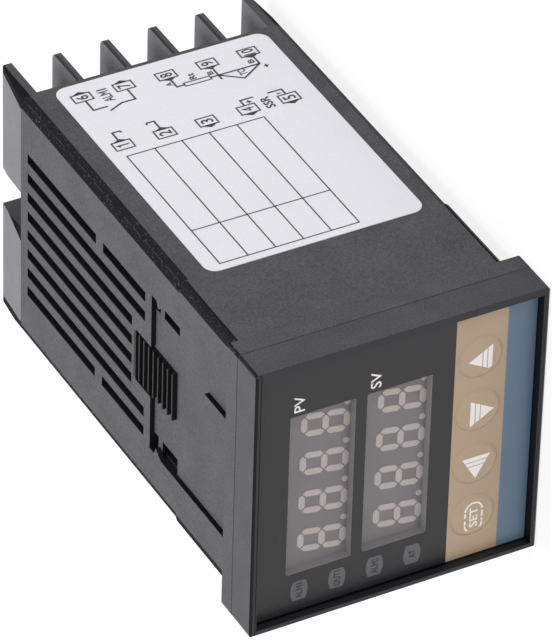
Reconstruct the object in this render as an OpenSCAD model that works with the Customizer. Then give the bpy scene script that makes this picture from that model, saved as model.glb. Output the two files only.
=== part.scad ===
// Panel-mount temperature controller in the 48 x 48 mm size.
// The origin is on the axis of the housing, in the rear face of the panel flange.
// +Y runs from the front towards the terminals, +Z is the upper edge of the displays
// and +X is the side that carries the wiring label.

/* [Front] */
// Width and height of the square front
bezel_w = 48; // [47:0.5:52]
// Depth of the front moulding, from its face to the seam
bezel_t = 5.6; // [5.4:0.1:7]
// Width of the raised rim around the film
rim_w = 1.05; // [0.9:0.05:2]
// Depth of the film below the rim
film_recess = 1.6; // [0.4:0.1:1.7]
// Thickness of the printed film
film_t = 0.3; // [0.2:0.05:0.5]
// Thickness of the wall behind the film
front_wall = 1.1; // [1.1:0.1:1.8]
// Gap that shows as the seam between the front moulding and the case
seam = 0.3; // [0.3:0.05:0.5]

/* [Case] */
// Width and height of the case behind the panel
body_w = 44.6; // [44:0.1:45]
// Length of the case, from the panel seat to its rear edge
body_len = 69.7; // [67:0.5:90]
// Thickness of the flange that seats on the panel
flange_t = 3; // [2:0.1:4]
// Wall thickness of the case
wall = 1.8; // [1.6:0.1:2]
// Length of the front collar, which has the smaller corner cuts
collar_len = 17.9; // [15:0.1:18.5]
// Corner cut of the case, along the top and bottom faces
cut_face = 2; // [1.5:0.1:2.4]
// Corner cut of the case, along the two sides
cut_side = 1.4; // [1:0.1:1.8]

/* [Vents and bracket ratchet] */
// Number of vent slots in the top face
vent_n = 8; // [6:1:8]
// Width of a vent slot
vent_w = 1.75; // [1:0.05:1.9]
// Distance between neighbouring vent slots
vent_pitch = 3.54; // [3.2:0.02:3.6]
// Distance from the rear edge of the case to the vents
vent_rear = 2.3; // [2:0.1:4]
// Length of the bracket bed in front of the step
bed_len = 26.6; // [26:0.1:27.5]
// Width of the bracket bed
bed_w = 28.4; // [27:0.1:29]
// Depth of the bracket bed
bed_t = 0.8; // [0.5:0.05:0.9]
// Number of ratchet teeth
tooth_n = 8; // [6:1:8]
// Distance between neighbouring ratchet teeth
tooth_pitch = 1.51; // [1.3:0.01:1.6]
// Width of the ratchet
tooth_w = 8.5; // [7:0.1:9]

/* [Displays] */
// Width of the column of lamps beside the windows, from the inner wall of the front
lamp_column = 3.2; // [3.2:0.1:4.2]
// Distance from the windows to the inner wall on the other side
window_side = 5.6; // [4:0.1:6]
// Width of the bar between the two windows
window_bar = 2; // [1.6:0.1:3]
// Distance from the upper display to the inner wall above it
display_top = 1.9; // [1.2:0.1:2.2]
// Height that is kept for the keys below the lower display
key_zone = 11.1; // [10.8:0.1:12]
// Height of a digit between the middles of its top and bottom segments
digit_h = 7.05; // [6:0.05:7.2]
// Width of a digit between the middles of its side segments
digit_w = 3.1; // [2.6:0.1:3.6]
// Width of a segment
segment_w = 1.05; // [0.7:0.05:1.1]
// Lean of the digits in degrees
digit_lean = 9; // [0:1:12]

/* [Keys and lamps] */
// Radius of an embossed key pad
key_r = 3.7; // [3.4:0.1:3.8]
// Distance from the middle of the first key to the inner wall beside it
key_first = 3.6; // [3.5:0.1:4.6]
// Distance from the middle of the last key to the inner wall beside it
key_last = 4.9; // [3.6:0.1:5.2]
// Distance from the middles of the keys to the inner wall below them
key_bottom = 5.3; // [4.5:0.05:6.5]
// Height that a key pad stands above the film
key_rise = 0.25; // [0.15:0.05:0.4]
// Travel of a key
key_travel = 0.4; // [0.2:0.05:0.4]
// Radius of a key plunger
plunger_r = 1.6; // [1.2:0.1:1.7]
// Width of an indicator lens
lamp_w = 3.6; // [3.2:0.1:3.8]
// Height of an indicator lens
lamp_h = 2.9; // [2.4:0.1:3.2]

/* [Terminals] */
// Number of terminals in each column
bay_n = 5; // [4:1:5]
// Thickness of the outermost fin of a column
outer_fin_t = 2.65; // [2.4:0.05:3]
// Length that the barrier fins stand behind the case
fin_len = 8.6; // [6:0.1:10]
// Thickness of a barrier fin
fin_t = 1.2; // [1:0.1:1.5]
// Distance from the axis to the inner wall of a terminal column
spine_x = 3.35; // [3:0.05:5]
// Draft of the outer fins over their length
fin_draft = 1.2; // [0.2:0.05:1.3]
// Distance from the terminal screws to the blades that reach the boards
screw_side = 4.2; // [3.8:0.1:5]
// Radius of the screw heads
head_r = 2.5; // [2.2:0.1:2.6]
// Radius of the screw thread
thread_r = 1.5; // [1.25:0.05:1.6]
// Clearance between a clamp washer and the fins beside it
washer_gap = 0.35; // [0.3:0.05:0.5]

/* [Boards] */
// Thickness of the circuit boards
board_t = 1.6; // [1.2:0.1:1.8]
// Clearance between the long boards and the terminal base
board_rear = 2.4; // [2:0.1:4]
// Clearance between the chassis and the case
slide_gap = 0.3; // [0.3:0.05:0.4]

/* [Hidden] */
$fn = 48;

// fits
fit = 0.1;         // radial or side clearance of pieces that sit in one another
run_fit = 0.05;    // radial clearance of the keys and plungers
past = 1;          // how far a cutter runs past a face

// depths along Y
seam_y = -flange_t - seam;
front_y = seam_y - bezel_t;
film_y = front_y + film_recess;
wall_y = film_y + film_t;
wall_back = wall_y + front_wall;
board_y = -0.4;
board_back = board_y + board_t;
tip_y = body_len + fin_len;

// case
cavity = body_w / 2 - wall;
collar_face = cut_face - 0.7;
collar_side = cut_side - 0.6;
ridge = 0.3;             // share of the corner cut at which its middle ridge stands
face = body_w / 2;
bed_z = face - bed_t;
mould_r = 0.6;           // corner radius of the flange and the front
front_cut = 0.35;        // chamfer round the front edge
rib_h = 1.5;
rib_t = 1.2;
rib_front = 4;

// vents and ratchet
vent_step = 2;           // from the end of the bed to the vents
vent_short = 4.1;        // by which the vents behind the ratchet are shorter
bridge_step = 13.7;      // from the front ends of the outer vents to the bars that bridge them
bridge_t = 2.3;
tooth_step = 4.8;        // from the end of the bed to the end of the ratchet's pocket
tooth_past = 0.3;        // by which the last ramp runs into the wall behind it
tooth_land = 0.35;       // flat along the crest of a tooth
tooth_side = 0.4;        // clearance beside the teeth where they stand in their pocket
vent_rear_y = body_len - vent_rear;
vent_front_y = bed_len + vent_step;
vent_short_y = vent_front_y + vent_short;
bridge_y = vent_front_y + bridge_step;
tooth_end_y = bed_len + tooth_step;
tooth_start_y = tooth_end_y + tooth_past - tooth_n * tooth_pitch;
latch_w = 2.8;           // two latch windows at each side of the bed, with a bridge between them
latch_rear = 1.4;
latch_bridge = 1.3;
latch_len = 4.8;
latch_y = [[bed_len - latch_rear - latch_bridge - latch_len, bed_len - latch_rear - latch_bridge],
           [bed_len - latch_rear, bed_len]];
latch_x = bed_w / 2 - latch_w;
barb_w = 1.3;            // barbs on the side walls of the bed, over the bridges
barb_steps = [3.6, 2, 1.5]; // from a barb's foot, tip and rear to the end of the bed
barb_y = [for (step = barb_steps) bed_len - step];
key_rib_x = 7;           // rib that keys the bracket
key_rib_w = 1.2;
key_rib_len = 9.8;

// room inside the front
skirt = cavity - slide_gap;
skirt_t = 1.3;
pocket = skirt - skirt_t;

// displays
display_gap = 0.3;       // between the two displays
row_pitch = (2 * pocket - display_top - key_zone + display_gap) / 2;
window_w = 2 * pocket - lamp_column - window_side;
window_h = row_pitch - window_bar;
window_x = (lamp_column - window_side) / 2;
window_t = film_t + front_wall - 0.2;
window_rise = 1.2;       // the windows stand higher than the displays behind them
display_y = wall_back + fit;
display_w = window_w + 1.2;
display_h = row_pitch - display_gap;
pv_z = pocket - display_top - display_h / 2;
sv_z = pv_z - row_pitch;
pv_window_z = pv_z + window_rise;
sv_window_z = sv_z + window_rise;
digit_n = 4;
digit_pitch = (window_w - 0.7) / digit_n;
segment_t = 0.1;
segment_gap = 0.18;
dot_r = segment_w * 0.48;
dot_step = segment_w * 1.55;  // from the side segments to the dot

// lamps
lamp_n = 4;
lamp_pitch = row_pitch / 2;
lamp_x = -pocket - 0.05;
lamp_z = pv_window_z + 3.3;
lamp_r = 1;
lamp_t = film_t + front_wall - 0.3;
guide_x = 1.3 - pocket;
guide_w = 1.8;
led = [1.6, 0.8, 1.25];

// keys
key_n = 4;
key_x0 = key_first - pocket;
key_pitch = (2 * pocket - key_first - key_last) / (key_n - 1);
key_z = key_bottom - pocket;
pad_t = film_t + 0.15;
pad_room = 0.15;         // left under a pressed key
switch_w = 6;
switch_h = 3.5;
plunger_y = board_y - 1.8;

// terminals
base_t = 2.8;
base_y = body_len - 0.5;
plate_t = 0.8;
washer_t = 0.9;
head_h = 2;
outer_fin = face - outer_fin_t;
bay_pitch = 2 * (outer_fin + fin_t / 2) / bay_n;
washer_w = bay_pitch - fin_t - 2 * washer_gap;
plate_w = washer_w - 0.2;
fin_round = 1.3;
fin_edge = 0.3;          // chamfer along the outer edges of the fins
spine_edge = [1.2, 0.85]; // chamfer where the outer fins end beside the middle channel
blade_t = 0.5;
blade_w = 3;
blade_lap = 3.5;         // by which the blades lie over the boards' contacts
blade_len = base_t + board_rear + blade_lap;

// chassis
front_half = pocket - slide_gap;
board_z = cavity - slide_gap;
board_x = cavity - 4.5;                           // middle of a long board
inner_x = board_x - board_t / 2;
outer_x = board_x + board_t / 2;
long_y = board_back + 0.3;
long_back = base_y - base_t - board_rear;
contact_t = 0.1;
contact_len = 4.2;
contact_end = 0.3;
contact_y = [long_back - contact_end - contact_len, long_back - contact_end];
blade_x = outer_x + contact_t + slide_gap;
screw_x = blade_x - screw_side;

// parts on the long boards: distance from the front or rear end of a board, and height
output_capacitor_at = [[6, 7.2 - board_z], [13.2, 7.2 - board_z]];
alarm_relay_at = [13, board_z - 11.2];
output_relay_at = [27, board_z - 11.2];
mains_capacitor_at = [32.5, 9.2 - board_z];
transformer_at = [17, 9.7 - board_z];
bridge_at = [18, board_z - 11.2];
resistor_at = [[12, board_z - 16.2], [12, board_z - 13.2]];
controller_at = [16.5, 0];
crystal_at = [16.5, 11];
analog_at = [[30, 0], [22, 0], [14, 0]];
output_capacitor = [3.15, 11];
mains_capacitor_size = [5, 16];
relay = [15, 10, 15.3];
winding = [12, 13, 13];
core = [8, 3];           // stack and leg of the transformer core
bridge = [6.4, 8.2, 2.6];
resistor = [1.25, 6];
controller = [10, 10, 1.6];
analog = [4, 5, 1.5];
crystal_size = [2.2, 6, 3.5];
header = [30, 2.5];
brace_t = 3;
brace_flange = [2, 24];

function bay_z(i) = (i - (bay_n - 1) / 2) * bay_pitch;
function vent_x(i) = (i - (vent_n - 1) / 2) * vent_pitch;
function key_x(i) = key_x0 + i * key_pitch;

module block(low, high) {
  translate(low) cube(high - low);
}

// extrudes an outline drawn in X and Z from y0 back to y1
module along_y(y0, y1) {
  translate([0, y1, 0]) rotate([90, 0, 0]) linear_extrude(y1 - y0) children();
}

module rounded(w, h, r) {
  square([w - 2 * r, h], center = true);
  square([w, h - 2 * r], center = true);
  for (x = [-1, 1], z = [-1, 1]) translate([x * (w / 2 - r), z * (h / 2 - r)]) circle(r);
}

// square outline whose corners are cut in two facets that meet in a low ridge
module cut_square(w, a, b) {
  h = w / 2;
  corner = [[h, h - b], [h - ridge * a, h - ridge * b], [h - a, h]];
  polygon([for (q = [0:3]) for (k = [0:2])
    let (p = q % 2 == 0 ? corner[k] : corner[2 - k], sx = q == 0 || q == 3 ? 1 : -1, sz = q < 2 ? 1 : -1)
      [sx * p[0], sz * p[1]]]);
}

module both_faces() {
  children();
  mirror([0, 0, 1]) children();
}

// ---- case ----

module vent_cuts() {
  for (i = [0:vent_n - 1]) {
    inner = abs(vent_x(i)) < tooth_w / 2 + vent_pitch;
    outer = i == 0 || i == vent_n - 1;
    difference() {
      block([vent_x(i) - vent_w / 2, inner ? vent_short_y : vent_front_y, cavity - past],
            [vent_x(i) + vent_w / 2, vent_rear_y, face + past]);
      if (outer) block([vent_x(i) - vent_w, bridge_y, cavity - 2 * past],
                       [vent_x(i) + vent_w, bridge_y + bridge_t, face + 2 * past]);
    }
  }
}

// barb that points into the bed from its side wall
module barb() {
  side = bed_w / 2;
  translate([0, 0, bed_z - past]) linear_extrude(bed_t + 3 * past)
    polygon([[side + past, barb_y[0]], [side, barb_y[0]], [side - barb_w, barb_y[1]], [side, barb_y[2]],
             [side + past, barb_y[2]]]);
}

module bed_cuts() {
  difference() {
    block([-bed_w / 2, 0, bed_z], [bed_w / 2, bed_len, face + past]);
    for (s = [0, 1]) mirror([s, 0, 0]) barb();
    block([key_rib_x - key_rib_w / 2, -past, bed_z - past], [key_rib_x + key_rib_w / 2, key_rib_len, face + 2 * past]);
  }
  block([-tooth_w / 2 - tooth_side, bed_len - fit, bed_z], [tooth_w / 2 + tooth_side, tooth_end_y, face + past]);
  for (s = [0, 1], y = latch_y) mirror([s, 0, 0])
    block([latch_x, y[0], cavity - past], [latch_x + latch_w, y[1], bed_z + fit / 2]);
}

// saw teeth with their steep faces to the front and a narrow flat along each crest
module ratchet() {
  rotate([90, 0, 90]) translate([0, 0, -tooth_w / 2]) linear_extrude(tooth_w)
    for (i = [0:tooth_n - 1])
      translate([tooth_start_y + i * tooth_pitch, bed_z])
        polygon([[0, -0.2], [tooth_pitch, -0.2], [tooth_pitch, 0], [tooth_land, bed_t], [0, bed_t]]);
}

module guide_ribs() {
  rib_back = long_back - 2;
  for (s = [0, 1]) mirror([s, 0, 0]) {
    block([inner_x - slide_gap - rib_t, rib_front, cavity - rib_h],
          [inner_x - slide_gap, rib_back, cavity + wall / 4]);
    block([outer_x + slide_gap, rib_front, cavity - rib_h],
          [outer_x + slide_gap + rib_t, rib_back, cavity + wall / 4]);
  }
}

module case() {
  color([0.13, 0.13, 0.14]) {
    difference() {
      union() {
        along_y(-flange_t, 0) rounded(bezel_w, bezel_w, mould_r);
        along_y(-fit, collar_len) cut_square(body_w, collar_face, collar_side);
        along_y(collar_len - fit, body_len) cut_square(body_w, cut_face, cut_side);
      }
      along_y(-flange_t - past, body_len + past) square(2 * cavity, center = true);
      both_faces() vent_cuts();
      both_faces() bed_cuts();
    }
    both_faces() ratchet();
    both_faces() guide_ribs();
  }
}

// ---- terminals ----

// fin outline in X and Y with its outer rear corner rounded
module fin_outline() {
  polygon(concat(
    [[spine_x, base_y - fit], [cavity - fit, base_y - fit], [cavity - fit, body_len], [face, body_len]],
    [for (a = [0:15:90]) [face - fin_round + fin_round * cos(a), tip_y - fin_round + fin_round * sin(a)]],
    [[spine_x, tip_y]]));
}

module comb() {
  for (i = [0:bay_n - 2])
    translate([0, 0, bay_z(i) + bay_pitch / 2 - fin_t / 2]) linear_extrude(fin_t) fin_outline();
  both_faces() {
    translate([0, 0, outer_fin]) linear_extrude(cavity - fit - outer_fin) fin_outline();
    block([spine_x, body_len, outer_fin], [face, tip_y, face]);
  }
  block([spine_x, base_y - fit, -outer_fin - fit], [spine_x + fin_t, tip_y, outer_fin + fit]);
}

// wedge that drafts the outer face of the outer fins
module draft_cut() {
  translate([0, body_len, face]) rotate([-atan(fin_draft / fin_len), 0, 0])
    block([-face - past, -past / 4, 0], [face + past, fin_len + 2 * past, 2 * past]);
}

// outline in X and Z that trims the combs: the corner cuts, the middle channel and the fin edges
module comb_trim() {
  channel = [[spine_x, 0], [spine_x, face - spine_edge[1]], [spine_x + spine_edge[0], face],
             [spine_x + spine_edge[0], face + past]];
  difference() {
    cut_square(body_w, cut_face, cut_side);
    for (q = [1, -1]) polygon([for (k = [0:7]) let (p = k < 4 ? channel[k] : channel[7 - k])
      [k < 4 ? p[0] : -p[0], q * (p[1] == 0 ? -past : p[1])]]);
    for (x = [-face, face], i = [0:bay_n - 2], s = [-1, 1])
      translate([x, bay_z(i) + bay_pitch / 2 + s * fin_t / 2]) circle(fin_edge, $fn = 4);
  }
}

module terminal_block() {
  color([0.14, 0.14, 0.15])
    difference() {
      union() {
        along_y(base_y - base_t, base_y) square(2 * (cavity - fit), center = true);
        intersection() {
          union() {
            comb();
            mirror([1, 0, 0]) comb();
          }
          along_y(base_y - base_t, tip_y + past) comb_trim();
        }
      }
      both_faces() draft_cut();
      for (s = [-1, 1], i = [0:bay_n - 1]) {
        translate([s * screw_x, base_y - base_t - past, bay_z(i)]) rotate([-90, 0, 0])
          cylinder(h = base_t + 2 * past, r = thread_r + 2 * fit);
        translate([s * (blade_x + blade_t / 2), base_y - base_t / 2, bay_z(i)])
          cube([blade_t + 2 * fit, base_t + 2 * past, blade_w + 2 * fit], center = true);
      }
    }
}

module each_terminal() {
  for (s = [0, 1]) mirror([s, 0, 0])
    for (i = [0:bay_n - 1]) translate([0, 0, bay_z(i)]) children();
}

module terminal_plates() {
  color([0.78, 0.74, 0.62]) each_terminal() {
    difference() {
      block([screw_x - washer_w / 2, base_y, -plate_w / 2], [blade_x + blade_t, base_y + plate_t, plate_w / 2]);
      translate([screw_x, base_y - past, 0]) rotate([-90, 0, 0]) cylinder(h = plate_t + 2 * past, r = thread_r + run_fit);
    }
    block([blade_x, base_y - blade_len, -blade_w / 2], [blade_x + blade_t, base_y + fit, blade_w / 2]);
  }
}

module clamp_washers() {
  washer_y = base_y + plate_t;
  lip_h = 0.5;
  color([0.8, 0.8, 0.82]) each_terminal()
    difference() {
      union() {
        block([screw_x - washer_w / 2, washer_y, -washer_w / 2], [screw_x + washer_w / 2, washer_y + washer_t, washer_w / 2]);
        for (s = [0, 1]) translate([screw_x, 0, 0]) mirror([s, 0, 0])
          block([head_r + fit, washer_y, -washer_w / 2], [washer_w / 2, washer_y + washer_t + lip_h, washer_w / 2]);
      }
      translate([screw_x, washer_y - past, 0]) rotate([-90, 0, 0]) cylinder(h = washer_t + 2 * past, r = thread_r + fit);
    }
}

module terminal_screws() {
  head_y = base_y + plate_t + washer_t;
  shank = 6;
  slot_w = 0.7;
  slot_t = 1.1;
  bevel = [0.6, 0.5];
  color([0.83, 0.83, 0.84]) each_terminal() translate([screw_x, head_y, 0]) rotate([-90, 0, 0])
    difference() {
      rotate_extrude() polygon([[0, -shank], [thread_r, -shank], [thread_r, 0], [head_r, 0], [head_r, head_h - bevel[1]],
                                [head_r - bevel[0], head_h], [0, head_h]]);
      for (a = [0, 90]) rotate([0, 0, a]) translate([0, 0, head_h])
        cube([1.4 * head_r, slot_w, 2 * slot_t], center = true);
    }
}

module side_label() {
  label_t = 0.12;
  label_side = 4.3;      // from the label to each edge of the case
  label_w = body_w - 2 * label_side;
  label_z = -0.4;
  label_r = 2;
  label_y = [collar_len - 0.1, body_len - 0.9];
  color([0.9, 0.9, 0.92]) translate([face, (label_y[0] + label_y[1]) / 2, label_z]) rotate([90, 0, 90])
    linear_extrude(label_t) rounded(label_y[1] - label_y[0], label_w, label_r);
}

// ---- front moulding and film ----

module windows_2d(extra) {
  for (z = [pv_window_z, sv_window_z]) translate([window_x, z])
    square([window_w + 2 * extra, window_h + 2 * extra], center = true);
}

module lamps_2d(extra) {
  for (i = [0:lamp_n - 1]) translate([lamp_x, lamp_z - i * lamp_pitch])
    rounded(lamp_w + 2 * extra, lamp_h + 2 * extra, lamp_r);
}

module key_bores(r, y0, y1) {
  for (i = [0:key_n - 1]) translate([key_x(i), y0, key_z]) rotate([-90, 0, 0]) cylinder(h = y1 - y0, r = r);
}

module bezel() {
  rim = bezel_w / 2 - rim_w;
  skin = 1.8;
  color([0.12, 0.12, 0.13])
    difference() {
      union() {
        difference() {
          along_y(front_y, seam_y) rounded(bezel_w, bezel_w, mould_r);
          for (q = [0:3]) rotate([0, 90 * q, 0]) translate([0, front_y, bezel_w / 2]) rotate([45, 0, 0])
            cube([bezel_w + 2 * past, front_cut * sqrt(2), front_cut * sqrt(2)], center = true);
          along_y(wall_back + 0.6, seam_y + past) difference() {
            square(bezel_w - 2 * skin, center = true);
            square(2 * skirt, center = true);
          }
        }
        along_y(seam_y - fit, board_back) square(2 * skirt, center = true);
      }
      along_y(front_y - past, wall_y) square(2 * rim, center = true);
      along_y(wall_back, board_back + past) square(2 * pocket, center = true);
      along_y(wall_y - past, wall_back + past) windows_2d(fit);
      along_y(wall_y - past, wall_y + lamp_t - film_t) lamps_2d(fit);
      for (i = [0:lamp_n - 1]) translate([guide_x, wall_y, lamp_z - i * lamp_pitch])
        cube([guide_w + 2 * fit, 2 * (front_wall + past), guide_w + 2 * fit], center = true);
      key_bores(key_r + 2 * fit, wall_y - past, film_y + pad_t + key_travel + pad_room);
      key_bores(plunger_r + run_fit, wall_y - past, wall_back + past);
    }
}

module overlay_film() {
  color([0.2, 0.2, 0.21])
    difference() {
      along_y(film_y, wall_y) square(bezel_w - 2 * rim_w - 2 * fit, center = true);
      along_y(film_y - past, wall_y + past) {
        windows_2d(fit);
        lamps_2d(fit);
      }
      key_bores(key_r + run_fit, film_y - past, wall_y + past);
    }
}

module window_plate(z) {
  color([0.55, 0.54, 0.53, 0.6]) along_y(film_y, film_y + window_t)
    translate([window_x, z]) square([window_w, window_h], center = true);
}

module pv_window() { window_plate(pv_window_z); }

module sv_window() { window_plate(sv_window_z); }

module lamp_lenses() {
  color([0.45, 0.45, 0.46]) {
    along_y(film_y, film_y + lamp_t) lamps_2d(0);
    for (i = [0:lamp_n - 1]) block([guide_x - guide_w / 2, film_y + lamp_t - fit, lamp_z - i * lamp_pitch - guide_w / 2],
                          [guide_x + guide_w / 2, board_y - led[1] - 0.3, lamp_z - i * lamp_pitch + guide_w / 2]);
  }
}

// ---- displays ----

module display_housing(z) {
  color([0.46, 0.46, 0.47]) block([-display_w / 2 + window_x, display_y, z - display_h / 2],
                                  [display_w / 2 + window_x, board_y, z + display_h / 2]);
}

// a bar with pointed ends, lying along X
module segment_bar(length) {
  h = segment_w / 2;
  l = length / 2 - segment_gap;
  polygon([[-l + h, h], [l - h, h], [l, 0], [l - h, -h], [-l + h, -h], [-l, 0]]);
}

module digit_2d() {
  lean = [[1, tan(digit_lean), 0, 0], [0, 1, 0, 0], [0, 0, 1, 0], [0, 0, 0, 1]];
  half = digit_h / 2;
  multmatrix(lean) {
    for (z = [-half, 0, half]) translate([0, z]) segment_bar(digit_w);
    for (x = [-digit_w / 2, digit_w / 2], z = [-half / 2, half / 2]) translate([x, z]) rotate(90) segment_bar(half);
    translate([digit_w / 2 + dot_step, -half]) circle(dot_r);
  }
}

module segments(z) {
  color([0.86, 0.8, 0.76]) along_y(display_y - segment_t, display_y)
    for (i = [0:digit_n - 1]) translate([window_x + (i - (digit_n - 1) / 2) * digit_pitch, z]) digit_2d();
}

module pv_display() { display_housing(pv_z); }

module sv_display() { display_housing(sv_z); }

module pv_segments() { segments(pv_z); }

module sv_segments() { segments(sv_z); }

// ---- boards and what they carry ----

module front_board() {
  color([0.1, 0.34, 0.2]) along_y(board_y, board_back) square(2 * front_half, center = true);
}

module indicator_leds() {
  color([0.95, 0.93, 0.8]) for (i = [0:lamp_n - 1])
    translate([guide_x, board_y - led[1] / 2, lamp_z - i * lamp_pitch]) cube(led, center = true);
}

module key_switches() {
  color([0.15, 0.15, 0.16])
    difference() {
      for (i = [0:key_n - 1]) block([key_x(i) - switch_w / 2, board_y - switch_h, key_z - switch_w / 2],
                            [key_x(i) + switch_w / 2, board_y, key_z + switch_w / 2]);
      key_bores(plunger_r + run_fit, board_y - switch_h - past, plunger_y + key_travel + 0.4);
    }
}

module long_board() {
  block([inner_x, long_y, -board_z], [outer_x, long_back, board_z]);
}

module power_board() { color([0.12, 0.38, 0.22]) long_board(); }

module logic_board() { color([0.12, 0.38, 0.22]) mirror([1, 0, 0]) long_board(); }

module board_headers() {
  color([0.1, 0.1, 0.11]) for (s = [0, 1]) mirror([s, 0, 0])
    block([inner_x - header[1], board_back, -header[0] / 2], [inner_x, board_back + header[1], header[0] / 2]);
}

// the power parts stand on the inner face of the power board and point to the middle
module on_power(y, z) {
  translate([inner_x, y, z]) rotate([0, -90, 0]) children();
}

module standing(size) {
  translate([-size[0] / 2, -size[1] / 2, 0]) cube(size);
}

module transformer_core() {
  color([0.25, 0.25, 0.26]) on_power(long_back - transformer_at[0], transformer_at[1])
    difference() {
      standing([core[0], winding[1] + 2 * core[1], winding[2] + core[1]]);
      translate([0, 0, -past]) standing([core[0] + 2 * past, winding[1], winding[2] + past]);
    }
}

module transformer_winding() {
  color([0.85, 0.72, 0.25]) on_power(long_back - transformer_at[0], transformer_at[1]) standing(winding);
}

module mains_capacitor() {
  color([0.1, 0.16, 0.4]) on_power(long_back - mains_capacitor_at[0], mains_capacitor_at[1])
    cylinder(h = mains_capacitor_size[1], r = mains_capacitor_size[0]);
}

module output_capacitors() {
  color([0.1, 0.1, 0.12]) for (at = output_capacitor_at) on_power(long_y + at[0], at[1])
    cylinder(h = output_capacitor[1], r = output_capacitor[0]);
}

module alarm_relay() {
  color([0.1, 0.35, 0.65]) on_power(long_y + alarm_relay_at[0], alarm_relay_at[1]) standing(relay);
}

module output_relay() {
  color([0.1, 0.35, 0.65]) on_power(long_y + output_relay_at[0], output_relay_at[1]) standing(relay);
}

module bridge_rectifier() {
  color([0.09, 0.09, 0.1]) on_power(long_back - bridge_at[0], bridge_at[1]) standing(bridge);
}

module power_resistors() {
  color([0.35, 0.5, 0.6]) for (at = resistor_at)
    translate([inner_x - resistor[0], long_back - at[0], at[1]]) rotate([-90, 0, 0])
      cylinder(h = resistor[1], r = resistor[0]);
}

// the logic parts stand on the inner face of the logic board
module on_logic(y, z) {
  translate([-inner_x, y, z]) rotate([0, 90, 0]) children();
}

module controller_chip() {
  color([0.08, 0.08, 0.09]) on_logic(long_y + controller_at[0], controller_at[1]) standing(controller);
}

module analog_chips() {
  color([0.08, 0.08, 0.09]) for (at = analog_at) on_logic(long_back - at[0], at[1]) standing(analog);
}

module crystal() {
  color([0.75, 0.75, 0.77]) on_logic(long_y + crystal_at[0], crystal_at[1]) {
    for (s = [-1, 1]) translate([0, s * crystal_size[1] / 2, 0]) cylinder(h = crystal_size[2], r = crystal_size[0]);
    standing([2 * crystal_size[0], crystal_size[1], crystal_size[2]]);
  }
}

// moulded brace that keeps the rear ends of the long boards apart
module board_brace() {
  brace_y = contact_y[0];
  color([0.85, 0.85, 0.8]) {
    block([-inner_x, brace_y, -brace_flange[0] / 2], [inner_x, brace_y + brace_t, brace_flange[0] / 2]);
    for (s = [0, 1]) mirror([s, 0, 0])
      block([inner_x - brace_flange[0], brace_y, -brace_flange[1] / 2], [inner_x, brace_y + brace_t, brace_flange[1] / 2]);
  }
}

module edge_contacts() {
  color([0.83, 0.68, 0.3]) each_terminal()
    block([outer_x, contact_y[0], -blade_w / 2], [outer_x + contact_t, contact_y[1], blade_w / 2]);
}

// ---- keys ----

module key(i) {
  color([0.62, 0.55, 0.47]) translate([key_x(i), 0, key_z]) rotate([-90, 0, 0]) {
    translate([0, 0, film_y - key_rise]) cylinder(h = key_rise + pad_t, r = key_r);
    translate([0, 0, film_y]) cylinder(h = plunger_y - film_y, r = plunger_r);
  }
}

module key_set() { key(0); }

module key_shift() { key(1); }

module key_down() { key(2); }

module key_up() { key(3); }

case();
terminal_block();
terminal_plates();
clamp_washers();
terminal_screws();
side_label();
bezel();
overlay_film();
pv_window();
sv_window();
lamp_lenses();
front_board();
pv_display();
sv_display();
pv_segments();
sv_segments();
indicator_leds();
key_switches();
power_board();
logic_board();
board_headers();
transformer_core();
transformer_winding();
mains_capacitor();
output_capacitors();
alarm_relay();
output_relay();
bridge_rectifier();
power_resistors();
controller_chip();
analog_chips();
crystal();
board_brace();
edge_contacts();
key_set();
key_shift();
key_down();
key_up();
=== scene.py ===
import bmesh
import bpy
import numpy as np
from mathutils import Matrix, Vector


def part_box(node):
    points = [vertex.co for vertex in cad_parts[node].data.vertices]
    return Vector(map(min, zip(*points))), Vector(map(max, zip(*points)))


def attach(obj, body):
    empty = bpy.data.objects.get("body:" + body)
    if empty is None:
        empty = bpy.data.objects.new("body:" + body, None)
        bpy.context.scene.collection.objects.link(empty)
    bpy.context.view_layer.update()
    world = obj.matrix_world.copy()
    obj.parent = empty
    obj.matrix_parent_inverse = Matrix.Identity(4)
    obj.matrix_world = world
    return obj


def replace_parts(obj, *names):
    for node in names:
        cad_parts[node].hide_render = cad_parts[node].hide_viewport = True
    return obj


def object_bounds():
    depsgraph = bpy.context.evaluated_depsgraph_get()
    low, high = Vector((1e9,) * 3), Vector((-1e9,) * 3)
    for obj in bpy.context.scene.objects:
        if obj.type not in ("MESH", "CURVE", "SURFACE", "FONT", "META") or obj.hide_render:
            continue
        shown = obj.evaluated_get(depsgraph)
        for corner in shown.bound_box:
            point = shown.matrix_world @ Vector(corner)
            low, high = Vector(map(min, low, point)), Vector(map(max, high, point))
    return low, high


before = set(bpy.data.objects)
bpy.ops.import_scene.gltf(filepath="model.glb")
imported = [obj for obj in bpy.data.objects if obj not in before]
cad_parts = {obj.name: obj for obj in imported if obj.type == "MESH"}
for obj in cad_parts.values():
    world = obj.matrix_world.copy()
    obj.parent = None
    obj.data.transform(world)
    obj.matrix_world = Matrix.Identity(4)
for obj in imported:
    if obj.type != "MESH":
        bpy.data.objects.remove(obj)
cad_box = [list(map(float, corner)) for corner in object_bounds()]

# ---------------------------------------------------------------- Camera, floor and light
# A long lens looks down on the label side, with the vents to the left and the keys below.
# The controller stands on a plain pale floor in a white room, under a wide lamp above the
# vents and a weaker one beside the camera.

scene = bpy.context.scene
scene.view_settings.view_transform = "Standard"

camera = bpy.data.objects.new("camera", bpy.data.cameras.new("camera"))
scene.collection.objects.link(camera)
camera.data.sensor_width = 36
camera.data.lens = 363.24
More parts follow.
